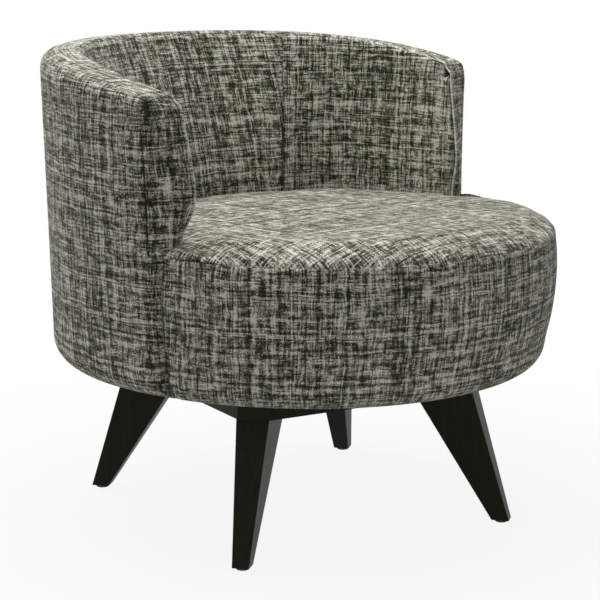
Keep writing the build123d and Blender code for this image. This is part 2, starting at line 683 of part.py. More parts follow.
def under_rim(cover):
    """Everything lower than the rim by the cover, seen from the side."""
    back = tub_outer_r(RIM_HEIGHT)
    front = ARM_END_INNER_F
    stations = [front - (front + back) * i / 4 for i in range(5)]
    curve = Spline([(f, rim_height(f) - cover) for f in stations])
    low_back = (-FAR_R, FAR_LOW)
    shape = [
        curve,
        Line(curve @ 1, (-FAR_R, RIM_HEIGHT - cover)),
        Line((-FAR_R, RIM_HEIGHT - cover), low_back),
        Line(low_back, (front, FAR_LOW)),
        Line((front, FAR_LOW), curve @ 0),
    ]
    return across(shape)


def tub_ply():
    """Bent plywood wall of the tub, open at the front."""
    band = flared(0, TUB_PLY_THICKNESS) & under_rim(TUB_PLY_RIM_COVER)
    band &= slab(SEAT_BOARD_LOW + TUB_PLY_RAISE, FAR_HIGH)
    front = TUB_PLY_END_COVER - ARM_END_OUTER_F
    return band - Pos(0, front - FAR_SIDE, FAR_HIGH / 2) * Box(2 * FAR_SIDE, 2 * FAR_SIDE, FAR_HIGH)


def upright(swing):
    """Wooden upright on the deck ring, against the inside of the ply."""
    depth = FAR_R - UPRIGHT_INNER_R
    block = Box(depth, UPRIGHT_WIDTH, FAR_HIGH - DECK_TOP)
    block = Pos(UPRIGHT_INNER_R + depth / 2, 0, (FAR_HIGH + DECK_TOP) / 2) * block
    return Rot(0, 0, 90 - swing) * block - flared(0, FAR_R - FRAME_R) & under_rim(UPRIGHT_RIM_COVER)


def both_arms(shape):
    """A left arm's piece and its mirror image."""
    return shape + mirror(shape, Plane.YZ)


def tub_pieces():
    """Covers, pads and wooden parts of the tub, by node."""
    centre, arm = tub_form(0)
    centre_fill, arm_fill = tub_form(COVER)
    outside = outside_room()
    above_seat = slab(PAD_BOTTOM_Z, FAR_HIGH)
    ply = tub_ply()
    back_uprights = [upright(swing) for swing in BACK_UPRIGHT_SWINGS]
    arm_upright = upright(ARM_UPRIGHT_SWING)
    centre_cover = centre - centre_fill
    arm_cover = arm - arm_fill
    lined = arm_end_cutter(COVER) & under_rim(RIM_SEAM_DROP) - arm_top_corner(COVER)
    hidden = lined + slab(FAR_LOW, PAD_BOTTOM_Z) - outside
    arm_inside = arm_cover - outside & above_seat & lined
    arm_pad = (arm_fill - outside & above_seat) - ply - arm_upright
    pieces = {
        "tub_ply": ply,
        "back_uprights": back_uprights,
        "outside_cover": (centre_cover - hidden) + both_arms(arm_cover - hidden),
        "outside_padding": (centre_fill & outside) + both_arms(arm_fill & outside) - ply,
        "centre_back_cover": centre_cover - outside & above_seat & lined,
        "centre_back_foam": (centre_fill - outside & above_seat) - ply - back_uprights,
    }
    for side, sign in SIDES:
        for name, shape in (("cover", arm_inside), ("foam", arm_pad), ("upright", arm_upright)):
            pieces[f"{side}_arm_{name}"] = shape if sign > 0 else mirror(shape, Plane.YZ)
    return pieces


def seat_pieces():
    """Cover, foam and padding of the seat drum, by node."""
    room = tub_room()
    skin = drum(0) & drawn_in_sides(0)
    fill = drum(COVER) & drawn_in_sides(COVER)
    cover = skin - fill - room
    seam_z = DRUM_SEAM_Z + SEAM_WIDTH / 2
    inside = fill - room
    underside = disc(UNDERTURN_R, FAR_LOW, FAR_HIGH)
    return {
        "seat_top_cover": cover & slab(seam_z, FAR_HIGH),
        "seat_boxing_cover": (cover & slab(FAR_LOW, seam_z)) - underside - behind_arm_ends(SOFT_GAP),
        "seat_foam": inside & slab(SEAT_FOAM_LOW, FAR_HIGH),
        "boxing_padding": (inside & slab(FAR_LOW, SEAT_FOAM_LOW)) - disc(FRONT_PLY_R, FAR_LOW, FAR_HIGH),
        "spring_pad": disc(SEAT_FOAM_REAR_R, CLIP_TOP, SEAT_FOAM_LOW),
        "dust_cover": ring(DUST_COVER_INNER_R, DUST_COVER_OUTER_R, DRUM_LOW - DUST_COVER_THICKNESS, DRUM_LOW),
    }


def base_pieces():
    """Legs, glides, board and screws, by node."""
    glides = [glide(angle) for angle in LEG_BEARINGS]
    screws = [screw for angle in LEG_BEARINGS for screw in leg_screw_set(angle)]
    plate_screws = lower_plate_screws()
    pieces = {
        "foot_glides": glides,
        "base_board": base_board() - screws - plate_screws,
        "leg_screws": screws,
        "swivel_lower_plate": swivel_plate(BOARD_TOP, PIVOT_R) - plate_screws,
        "lower_plate_screws": plate_screws,
        "swivel_pivot_rivet": pivot_rivet(),
    }
    for name, angle, pad in zip(LEG_NAMES, LEG_BEARINGS, glides):
        pieces[name] = leg(angle) - leg_screw_set(angle) - pad
    return pieces


def frame_pieces():
    """Swivel top, seat frame and springs, by node."""
    bolts = upper_plate_bolts()
    screws = frame_screws()
    return {
        "ball_cage": ball_cage(),
        "bearing_balls": bearing_balls(),
        "swivel_upper_plate": swivel_plate(UPPER_PLATE_LOW, PIVOT_R + PIVOT_CLEARANCE) - bolts,
        "upper_plate_bolts": bolts,
        "tee_nuts": tee_nuts(),
        "seat_board": seat_board() - screws,
        "frame_posts": [post - screws for post in frame_posts()],
        "frame_screws": screws,
        "deck_ring": ring(DECK_OPENING_R, FRAME_R, DECK_LOW, DECK_TOP) - screws,
        "front_ply": front_ply(),
        "seat_springs": [seat_spring(x) for x in spring_places()],
        "spring_clips": spring_clips(),
    }


def write(pieces):
    """One file for each node; a group of like pieces shares its node."""
    os.makedirs("parts", exist_ok=True)
    for name, shape in pieces.items():
        solids = shape if isinstance(shape, list) else [shape]
        solids = [solid for piece in solids for solid in piece.solids()]
        export_step(Compound(children=solids) if len(solids) > 1 else solids[0], f"parts/{name}.step")


write(base_pieces())
write(frame_pieces())
write(seat_pieces())
write(tub_pieces())
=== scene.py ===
from math import acos, atan2, ceil, cos, exp, hypot, pi, radians, sin, sqrt, tanh

import bmesh
import bpy
from bpy.props import FloatProperty, FloatVectorProperty, PointerProperty
from mathutils import Matrix, Vector
from mathutils.bvhtree import BVHTree


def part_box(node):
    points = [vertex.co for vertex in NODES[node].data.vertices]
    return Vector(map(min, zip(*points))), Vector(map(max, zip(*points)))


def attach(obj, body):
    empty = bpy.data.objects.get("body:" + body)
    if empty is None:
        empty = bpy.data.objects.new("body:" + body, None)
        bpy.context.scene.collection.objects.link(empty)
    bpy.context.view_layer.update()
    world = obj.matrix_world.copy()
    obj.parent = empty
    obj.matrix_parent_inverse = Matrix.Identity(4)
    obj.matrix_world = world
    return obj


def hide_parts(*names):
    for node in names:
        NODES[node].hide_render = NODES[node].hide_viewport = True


bl_info = {
    "name": "Swivel Tub Chair",
    "version": (1, 0, 0),
    "blender": (4, 5, 0),
    "location": "View3D > Sidebar > Tub Chair",
    "description": "Upholsters a round swivel chair in slubby tweed and finishes its wood and steel",
    "category": "Object",
}

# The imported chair: metres, +Z up, the sitter faces -Y, the origin is under the swivel.
# "Swing" counts from the centre of the back towards +X, "bearing" from the front towards +X,
# and "forward" is the distance in front of the swivel.
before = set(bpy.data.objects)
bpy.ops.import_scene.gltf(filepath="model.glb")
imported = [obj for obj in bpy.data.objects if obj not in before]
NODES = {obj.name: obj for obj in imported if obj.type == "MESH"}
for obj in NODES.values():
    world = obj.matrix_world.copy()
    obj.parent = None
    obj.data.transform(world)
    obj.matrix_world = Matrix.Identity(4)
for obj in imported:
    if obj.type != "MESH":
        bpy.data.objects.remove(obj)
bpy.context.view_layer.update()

DRUM_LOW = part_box("seat_boxing_cover")[0].z
DRUM_FRONT_R = -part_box("seat_boxing_cover")[0].y
SEAT_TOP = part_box("seat_top_cover")[1].z
SEAM_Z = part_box("seat_top_cover")[0].z
TUB_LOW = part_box("outside_cover")[0].z
PAD_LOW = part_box("centre_back_cover")[0].z
SIDES = (("left", 1), ("right", -1))
FAR = 1.5

# Layout of the panels: rows and rings of quads, and how their steps close up towards a sewn edge.
TURN_RINGS = 10
LIP_ROWS = 2
RIM_ROWS = 11
PANEL_GATHER = 1.3
EDGE_GATHER = 1.6
SIDE_GATHER = 0.6
LIP_SHARE = 0.75
WELD = 0.0008

# How the rim falls towards the arms, and how fast a panel takes up the shape of its end.
RIM_FALL_POWER = 2.5
RIM_END_POWER = 8
ARM_TOP_POWER = 6
SEAT_END_POWER = 4
EDGE_ROOM = 0.003
MITRE_SHARE = 0.1

# Where each panel is cut from the cloth, so that no two look alike.
CUT_BOXING = 2.0
CUT_OUTSIDE = 5.0
CUT_BACK = 8.0
CUT_ARMS = 11.0
BACK_STRETCH = 1.04

# Swelling of the padded panels: (pressure, most that a point may move in metres).
SWELL_SEAT = (4.0, 0.005)
SWELL_BOXING = (3.0, 0.003)
SWELL_OUTSIDE = (2.0, 0.002)
SWELL_BACK = (4.0, 0.005)
SWELL_ARM = (3.0, 0.003)
BLOW_FRAMES = 20
EVEN_STEPS = 4
SEAM_THICKNESS = 0.08

# Soft lamps round the chair: (name, place, watts, side in metres).
LAMPS = (
    ("overhead", (-0.1, 0.7, 2.6), 75.0, 2.0),
    ("front", (-0.9, -2.9, 1.6), 6.0, 2.0),
    ("side", (2.6, -0.8, 1.4), 3.0, 1.8),
)
LAMP_AIM = Vector((0, 0, 0.4))
SKY_STRENGTH = 0.205


def length(name, description, default):
    """A size that a user may change, in metres."""
    return FloatProperty(name=name, description=description, default=default, unit="LENGTH", precision=4)


def ratio(name, description, default):
    """A share or a slope that a user may change."""
    return FloatProperty(name=name, description=description, default=default, precision=4)


def turning(name, description, degrees):
    """An angle that a user may change."""
    return FloatProperty(name=name, description=description, default=radians(degrees), subtype="ANGLE")


def tone(name, description, default):
    """A colour that a user may change, in linear light."""
    return FloatVectorProperty(
        name=name, description=description, default=default, subtype="COLOR", size=3, min=0, max=1
    )


class TubChairSizes(bpy.types.PropertyGroup):
    """Where the upholstery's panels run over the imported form."""

    cloth_grid: length("Cloth grid", "Side of one quad of a panel", 0.009)
    wadding: length("Wadding", "Thickness of a panel with its wadding", 0.012)
    seam_depth: length("Seam depth", "How far a panel rolls in at its seams", 0.0018)
    groove: length("Groove", "Depth of the seam round the seat", 0.002)
    seam_width: length("Seam width", "How far from a seam the roll begins", 0.0045)
    soft_gap: length("Soft gap", "Room between the seat and the tub", 0.0015)
    tuck: length("Tuck", "How far the seat's cloth is pushed down beside the tub", 0.026)
    flap_draw: ratio("Flap draw", "Share of its radius that the tuck keeps at its ends", 0.93)
    tuck_roll: length("Tuck roll", "How far the seat dips beside the tub", 0.003)
    tuck_reach: length("Tuck reach", "How far from the tub the seat begins to dip", 0.011)
    dimple: length("Dimple", "Dip of the seat's cloth at the arms' inner corners", 0.001)
    corner_tuck: length("Corner tuck", "Pull on an arm's inner corner, tucked in beside the seat", 0.034)
    corner_reach: length("Corner reach", "Size of that pull along the seat", 0.034)
    corner_rise: length("Corner rise", "Height of that pull over the seat", 0.044)
    mitre_depth: length("Mitre depth", "Pinch in the fold at the top of an arm's end", 0.004)
    mitre_reach: length("Mitre reach", "Size of that pinch", 0.010)
    wall_low_r: length("Wall radius", "Outside radius of the tub at its lower bend", 0.362)
    wall_bend_z: length("Wall bend", "Height of the tub's lower bend", 0.274)
    wall_flare: ratio("Wall flare", "Growth of the wall's radius per height", 0.0387)
    rim_z: length("Rim height", "Height of the rim at the back", 0.685)
    rim_drop: length("Rim drop", "Fall of the rim towards the arms' ends", 0.038)
    rim_drop_reach: length("Rim drop reach", "Run over which the rim falls", 0.412)
    rim_inner_r: length("Rim inside", "Inside radius of the rim", 0.315)
    rim_round: length("Rim rounding", "Outer rounding of the rim", 0.022)
    rim_inner_round: length("Rim edge", "Tight rounding inside the rim", 0.009)
    arm_inner_r: length("Arm inside", "Inside radius of the arms", 0.310)
    arm_end_outer_r: length("Arm end radius", "Radius at which the arm's end is set out", 0.370)
    arm_end_inner: length("Arm end, inside", "How far the arm's inner corner stands forward", 0.075)
    arm_end_outer: length("Arm end, outside", "How far the arm's outer corner stands forward", 0.035)
    rake_inner: ratio("Inner rake", "Backward lean of the inner corner", 0.15)
    rake_outer: ratio("Outer rake", "Backward lean of the outer corner", -0.01)
    seat_level: length("Seat level", "Height at which the arms' ends begin to lean", 0.443)
    back_seam: turning("Back seam", "Swing of the seams beside the centre back", 45.4)
    seat_edge_r: length("Seat edge", "Radius at which the seat's top turns over", 0.316)
    seat_pitch: ratio("Seat pitch", "Rise of the seat towards its front", 0.034)
    seat_lean: ratio("Seat lean", "Rise of the seat towards its fuller right side", 0.020)
    seat_weave: turning("Seat weave", "Turn of the cloth on the seat", 6.5)
    seat_crown: length("Seat crown", "Rise of the seat's middle over its edge", 0.004)
    seam_r: length("Seat seam", "Radius of the seam between the seat's top and boxing", 0.371)
    draw_in_start: turning("Draw-in start", "Bearing where the boxing runs in", 66)
    draw_in_r: length("Draw-in", "Half width of the seat beside the arms' ends", 0.357)
    underturn_r: length("Underturn", "Radius to which the cloth is turned under", 0.293)


class TubChairTweed(bpy.types.PropertyGroup):
    """Yarns of the tweed."""

    dark: tone("Dark yarn", "Olive-black yarn", (0.017, 0.018, 0.007))
    mid: tone("Grey yarn", "Middle grey yarn", (0.160, 0.160, 0.113))
    greige: tone("Greige yarn", "Light grey-beige yarn", (0.42, 0.414, 0.338))
    pale: tone("Pale yarn", "Cream slubs", (0.80, 0.785, 0.71))
    pitch: length("Thread pitch", "From one thread to the next", 0.0019)
    slub: length("Slub length", "Usual length of a thick place in a thread", 0.017)
    patch: length("Patch width", "Usual width of a run of like threads", 0.008)
    slub_share: ratio("Slubs", "Share of the slubs in a thread's tone; the rest is patches", 0.62)
    thread_weight: ratio("Thread tone", "How far the threads differ from each other", 0.16)
    blend: ratio("Blend", "Share of each of the two crossing threads in the tone", 0.37)
    fibre_weight: ratio("Fibres", "How far single fibres show", 0.24)
    # Strength of the painted highlight and shade at folds and seams.
    painted_fold_shading: ratio("Folds", "How far folds and creases show", 0.11)
    shade_low: ratio("Darkest", "Tone that shows as the darkest yarn", 0.394)
    shade_high: ratio("Palest", "Tone that shows as the palest yarn", 0.606)


class TubChairFinishes(bpy.types.PropertyGroup):
    """Colours of wood, metal and lining."""

    stain: tone("Stain", "Dark stain of the legs", (0.0125, 0.0120, 0.0065))
    stain_light: tone("Worn stain", "Where the stain is thin", (0.0240, 0.0220, 0.0125))
    ply: tone("Plywood", "Face of bare plywood", (0.50, 0.36, 0.21))
    ply_dark: tone("Plywood glue lines", "Darker layers of plywood", (0.28, 0.18, 0.10))
    steel: tone("Pressed steel", "Blackened pressed steel", (0.075, 0.075, 0.078))
    zinc: tone("Zinc", "Plated screws", (0.55, 0.55, 0.53))
    wire: tone("Spring wire", "Oiled spring wire", (0.16, 0.155, 0.15))
    nylon: tone("Nylon", "Moulded glides", (0.035, 0.034, 0.032))
    felt: tone("Felt", "Pressed felt", (0.22, 0.20, 0.175))
    lining: tone("Lining", "Black non-woven lining", (0.010, 0.010, 0.011))


class TubChairStage(bpy.types.PropertyGroup):
    """Camera and light."""

    camera_place: FloatVectorProperty(
        name="Camera",
        description="Where the camera stands",
        default=(-2.343, -1.864, 0.946),
        subtype="TRANSLATION",
    )
    camera_pitch: turning("Pitch", "Downward tilt of the camera", 11.93)
    camera_roll: turning("Roll", "Turn of the camera about its line of sight", 0.78)
    camera_lens: FloatProperty(name="Lens", description="Focal length in millimetres", default=124.1)
    floor_tone: tone("Floor", "Pale floor", (0.6, 0.6, 0.6))


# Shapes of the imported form


def sizes():
    """The upholstery's sizes."""
    return bpy.context.scene.tub_chair_sizes


def mix(a, b, share):
    """A value between two others."""
    return a + (b - a) * share


def polar(swing, radius, height):
    """A point at a swing from the centre of the back."""
    return Vector((radius * sin(swing), radius * cos(swing), height))


def skin_of(*names):
    """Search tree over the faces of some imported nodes."""
    bm = bmesh.new()
    for name in names:
        bm.from_mesh(NODES[name].data)
    tree = BVHTree.FromBMesh(bm)
    bm.free()
    return tree


TUB_SKIN = skin_of("outside_cover", "centre_back_cover", "left_arm_cover", "right_arm_cover")
INSIDE_SKIN = skin_of("centre_back_cover", "left_arm_cover", "right_arm_cover")
BOXING_SKIN = skin_of("seat_boxing_cover")


def inside_r(swing, height):
    """Inside radius of the tub, seen from the swivel axis."""
    spot = INSIDE_SKIN.ray_cast(Vector((0, 0, height)), polar(swing, 1, 0))[0]
    return FAR if spot is None else hypot(spot.x, spot.y)


def wall_r(height):
    """Outside radius of the tub's flared wall."""
    s = sizes()
    return s.wall_low_r + s.wall_flare * (height - s.wall_bend_z)


def rim_z(forward):
    """Height of the rim, level round the back and falling along the arms."""
    s = sizes()
    share = max(0.0, (forward + wall_r(s.rim_z)) / s.rim_drop_reach)
    return s.rim_z - s.rim_drop * share**RIM_FALL_POWER


def end_forward(x, height):
    """How far the arm's end face stands forward at a distance from the middle."""
    s = sizes()
    rise = max(0.0, height - s.seat_level)
    inner = s.arm_end_inner - s.rake_inner * rise
    outer = s.arm_end_outer - s.rake_outer * rise
    slope = (inner - outer) / (s.arm_end_outer_r - s.arm_inner_r)
    return inner - slope * (x - s.arm_inner_r)


def end_corner(radius, height):
    """Where the arm's end face crosses a radius: (distance from the middle, forward)."""
    x = radius
    for _ in range(6):
        forward = end_forward(x, height)
        x = sqrt(radius**2 - forward**2)
    return x, forward


def end_place(share, height):
    """A place across the arm's end face, from its outer corner (0) to its inner one (1)."""
    s = sizes()
    wall_top = s.rim_z - s.rim_drop - s.rim_inner_round
    outer = end_corner(wall_r(height), height)
    inner = end_corner(inside_r(pi / 2, max(s.seat_level, min(height, wall_top))), height)
    return mix(outer[0], inner[0], share), mix(outer[1], inner[1], share)


def arm_corner():
    """Where an arm's inner corner stands on the seat: (distance from the middle, forward)."""
    s = sizes()
    return end_corner(inside_r(pi / 2, s.seat_level), s.seat_level)


def corner_pull(point, corner):
    """Share of the pull on an arm's inner corner where its cloth is tucked in beside the seat."""
    s = sizes()
    aside = hypot(abs(point.x) - corner[0], -point.y - corner[1]) / s.corner_reach
    above = max(0.0, point.z - s.seat_level) / s.corner_rise
    return exp(-(aside**2) - above**2)


def rim_end(share):
    """Where the rim meets the arm's end: (swing, radius) from the outer corner to the inner one."""
    x, forward = end_place(share, rim_z(sizes().arm_end_outer))
    return pi / 2 + atan2(forward, x), hypot(x, forward)


def rim_place(share, along):
    """A place across the rim, from its outside (0) to its inside (1), along to an arm's end (1)."""
    s = sizes()
    swing_end, radius_end = rim_end(share)
    swing = along * swing_end
    radius = mix(mix(wall_r(s.rim_z), s.rim_inner_r, share), radius_end, abs(along) ** RIM_END_POWER)
    return polar(swing, radius, rim_z(-radius * cos(swing)))


def drum_draw(bearing):
    """Share of the drum's radius that is left where the boxing runs in beside the arms."""
    s = sizes()
    if abs(bearing) <= s.draw_in_start:
        return 1.0
    near = Vector((sin(s.draw_in_start), cos(s.draw_in_start))) * DRUM_FRONT_R
    side = Vector((s.draw_in_r, s.arm_end_outer))
    run = side - near
    ray = Vector((sin(abs(bearing)), cos(abs(bearing))))
    reach = (near.x * run.y - near.y * run.x) / (ray.x * run.y - ray.y * run.x)
    return reach / DRUM_FRONT_R


# Panels


def gathered(share):
    """A share across a panel with its steps drawn closer towards both its sewn edges."""
    return share - SIDE_GATHER * sin(2 * pi * share) / (2 * pi)


def gathered_to_end(share, power):
    """A share across a panel with its steps drawn closer towards its far edge."""
    return 1 - (1 - share) ** power


def panel_grid(columns, rows, place, keep=None):
    """A grid of quads; each column and row gives a (point, place on the cloth, way to a seam)."""
    bm = bmesh.new()
    bmesh.ops.create_grid(bm, x_segments=columns, y_segments=rows, size=0.5)
    weave = bm.loops.layers.uv.new("weave")
    seam = bm.verts.layers.float.new("seam")
    steps = {v: (round((v.co.x + 0.5) * columns), round((v.co.y + 0.5) * rows)) for v in bm.verts}
    if keep:
        spare = [f for f in bm.faces if not keep([steps[v] for v in f.verts])]
        bmesh.ops.delete(bm, geom=spare, context="FACES")
    cloth = {}
    for vert in bm.verts:
        vert.co, cloth[vert], vert[seam] = place(*steps[vert])
    for face in bm.faces:
        for loop in face.loops:
            loop[weave].uv = cloth[loop.vert]
    return bm


def face_outwards(bm, outward):
    """Turns a panel's faces to its shown side."""
    bm.normal_update()
    facing = sum(f.normal.dot(outward(f.calc_center_median())) * f.calc_area() for f in bm.faces)
    if facing < 0:
        bmesh.ops.reverse_faces(bm, faces=bm.faces)
    bm.normal_update()


def wall_core(point):
    """The middle of the tub's wall beside a place on its skin."""
    s = sizes()
    swing = max(-pi / 2, min(pi / 2, atan2(point.x, point.y)))
    radius = (wall_r(s.rim_z) + s.rim_inner_r) / 2
    return polar(swing, radius, min(point.z, rim_z(-radius * cos(swing)) - s.rim_round))


def drum_core(point):
    """The swivel axis beside a place on the seat drum."""
    return Vector((0, 0, point.z))


def roll_seams(bm, core, shade):
    """Rolls a panel in along its sewn edges, towards what two neighbours have in common, and stores painted
    highlight and shade along them in the fold attribute, as shade gives it.
    """
    s = sizes()
    seam = bm.verts.layers.float["seam"]
    fold = bm.verts.layers.float.new("fold")
    for vert in bm.verts:
        near = exp(-((vert[seam] / s.seam_width) ** 2))
        # Painted light: positive values are painted highlight, negative ones painted shade, strongest right
        # at the seam.
        vert[fold] = near**2 * shade(vert.co)
        vert.co += (core(vert.co) - vert.co).normalized() * s.seam_depth * near


def tuck_corners(bm):
    """Pulls the arms' inner corners in beside the seat."""
    corner = arm_corner()
    for vert in bm.verts:
        pull = sizes().corner_tuck * corner_pull(vert.co, corner)
        vert.co += (wall_core(vert.co) - vert.co).normalized() * pull


def pinch_mitres(bm):
    """Pinches the folds where the rim turns down into the arms' ends and paints shade into each pinch."""
    s = sizes()
    fold = bm.verts.layers.float["fold"]
    x, forward = end_place(MITRE_SHARE, rim_z(s.arm_end_outer))
    for vert in bm.verts:
        spot = Vector((x if vert.co.x > 0 else -x, -forward, rim_z(forward) - s.mitre_reach))
        near = exp(-(((vert.co - spot).length / s.mitre_reach) ** 2))
        # Painted shade: a dark spot in the fold attribute at each pinch.
        vert[fold] -= near
        vert.co += (wall_core(vert.co) - vert.co).normalized() * s.mitre_depth * near


def welt_highlight(point):
    """Painted highlight: the folded edge is painted pale round an arm's end and fades along the arm."""
    return max(0.0, min(1.0, 1.2 - 8 * point.y))


def crease_shade(point):
    """Painted shade: the seams inside the tub are painted darkest low down."""
    return -max(0.1, min(1.0, 1.6 - (point.z - sizes().seat_level) * 8))


def drum_shade(point):
    """Painted shade: the boxing's ends are painted dark where they run in beside the arms."""
    return -0.7


def new_piece(name, bm):
    """An object at the origin from a finished bmesh."""
    mesh = bpy.data.meshes.new(name)
    bm.to_mesh(mesh)
    bm.free()
    mesh.polygons.foreach_set("use_smooth", [True] * len(mesh.polygons))
    piece = bpy.data.objects.new(name, mesh)
    bpy.context.scene.collection.objects.link(piece)
    return piece


def evened(moves, mesh, held):
    """Moves of a panel's points, shared out among neighbours; held points don't move."""
    beside = [[] for _ in moves]
    for edge in mesh.edges:
        first, second = edge.vertices
        beside[first].append(second)
        beside[second].append(first)
    for _ in range(EVEN_STEPS):
        means = [sum((moves[i] for i in near), Vector()) / len(near) for near in beside]
        moves = [(move + mean) / 2 for move, mean in zip(moves, means)]
    for number in held:
        moves[number] = Vector()
    return moves


def blow_up(piece, swell):
    """Swells a panel's cloth between its sewn edges and keeps each point near its foam."""
    pressure, cap = swell
    mesh = piece.data
    bm = bmesh.new()
    bm.from_mesh(mesh)
    held = [v.index for v in bm.verts if v.is_boundary]
    bm.free()
    sewn = piece.vertex_groups.new(name="sewn")
    sewn.add(held, 1.0, "REPLACE")
    cloth = piece.modifiers.new("blow up", "CLOTH")
    cloth.settings.quality = 6
    cloth.settings.mass = 0.25
    cloth.settings.tension_stiffness = 12
    cloth.settings.compression_stiffness = 12
    cloth.settings.bending_stiffness = 1.5
    cloth.settings.use_pressure = True
    cloth.settings.uniform_pressure_force = pressure
    cloth.settings.vertex_group_mass = sewn.name
    cloth.settings.effector_weights.gravity = 0
    cloth.collision_settings.use_collision = False
    scene = bpy.context.scene
    for number in range(1, BLOW_FRAMES + 1):
        scene.frame_set(number)
    blown = piece.evaluated_get(bpy.context.evaluated_depsgraph_get())
    moves = [new.co - old.co for new, old in zip(blown.data.vertices, mesh.vertices)]
    piece.modifiers.remove(cloth)
    scene.frame_set(1)
    for vert, move in zip(mesh.vertices, evened(moves, mesh, held)):
        if move.length > 0:
            vert.co += move.normalized() * cap * tanh(move.length / cap)


def finish_panel(piece, material, nodes):
    """Gives a panel its wadding, thin at the seams, its cloth, its body and the nodes that it stands for."""
    wadding = piece.modifiers.new("wadding", "SOLIDIFY")
    wadding.thickness = sizes().wadding
    wadding.offset = -1
    wadding.use_even_offset = False
    wadding.edge_crease_outer = 1.0
    thick = piece.vertex_groups.new(name="thick")
    for number, way in enumerate(piece.data.attributes["seam"].data):
        thick.add([number], min(1.0, way.value / (2 * sizes().wadding)), "REPLACE")
    wadding.vertex_group = thick.name
    wadding.thickness_vertex_group = SEAM_THICKNESS
    soft = piece.modifiers.new("soft", "SUBSURF")
    soft.levels = 1
    soft.render_levels = 1
    piece.data.materials.append(material)
    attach(piece, "seat")
    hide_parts(*nodes)


# Materials


def put(tree, kind, values=None, **settings):
    """A new shader node with its settings, and its inputs set or linked."""
    made = tree.nodes.new("ShaderNode" + kind)
    for key, value in settings.items():
        setattr(made, key, value)
    for key, value in (values or {}).items():
        if isinstance(value, bpy.types.NodeSocket):
            tree.links.new(value, made.inputs[key])
        else:
            made.inputs[key].default_value = value
    return made


def sum_of(tree, operation, first, second=0.0):
    """Output of a math node."""
    return put(tree, "Math", {0: first, 1: second}, operation=operation).outputs[0]


def ramp(tree, share, stops):
    """Output of a colour ramp through (place, colour) stops."""
    made = put(tree, "ValToRGB", {"Fac": share})
    band = made.color_ramp
    while len(band.elements) < len(stops):
        band.elements.new(1.0)
    for element, (place, colour) in zip(band.elements, stops):
        element.position = place
        element.color = (*colour, 1.0)
    return made.outputs["Color"]


def noise(tree, vector, scale=1.0, detail=2.0, rough=0.5):
    """Output of a noise texture."""
    values = {"Vector": vector, "Scale": scale, "Detail": detail, "Roughness": rough}
    return put(tree, "TexNoise", values).outputs[0]


def new_material(name):
    """An empty material with its tree and surface shader."""
    material = bpy.data.materials.new(name)
    material.use_nodes = True
    return material, material.node_tree, material.node_tree.nodes["Principled BSDF"]


def bump(tree, height, distance, strength):
    """Normal from a height field."""
    return put(tree, "Bump", {"Height": height, "Distance": distance, "Strength": strength}).outputs["Normal"]


def weigh_in(tree, shade, change, weight):
    """A shade with an even random value weighed into it, lighter or darker."""
    return sum_of(tree, "ADD", shade, sum_of(tree, "MULTIPLY", sum_of(tree, "SUBTRACT", change, 0.5), weight))


def yarn(tree, across, along, seed):
    """Tone of one set of threads and the rounding of each thread."""
    t = bpy.context.scene.tub_chair_tweed
    place = sum_of(tree, "DIVIDE", across, t.pitch)
    number = sum_of(tree, "FLOOR", place)
    draw = {"W": sum_of(tree, "ADD", number, seed)}
    own = put(tree, "TexWhiteNoise", draw, noise_dimensions="1D").outputs[0]
    start = sum_of(tree, "MULTIPLY_ADD", own, 40.0)
    run = sum_of(tree, "ADD", sum_of(tree, "DIVIDE", along, t.slub), start)
    slub_place = {"X": sum_of(tree, "MULTIPLY", own, 90.0), "Y": run, "Z": seed}
    slubs = noise(tree, put(tree, "CombineXYZ", slub_place).outputs[0], detail=3.0, rough=0.65)
    patch_place = {
        "X": sum_of(tree, "DIVIDE", across, t.patch),
        "Y": sum_of(tree, "DIVIDE", along, t.patch * 4),
        "Z": seed + 5.0,
    }
    patches = noise(tree, put(tree, "CombineXYZ", patch_place).outputs[0], detail=2.0)
    shade = sum_of(tree, "MULTIPLY", slubs, t.slub_share)
    shade = sum_of(tree, "ADD", shade, sum_of(tree, "MULTIPLY", patches, 1 - t.slub_share))
    shade = weigh_in(tree, shade, own, t.thread_weight)
    turn = sum_of(tree, "SINE", sum_of(tree, "MULTIPLY", place, pi))
    return shade, sum_of(tree, "ABSOLUTE", turn), number


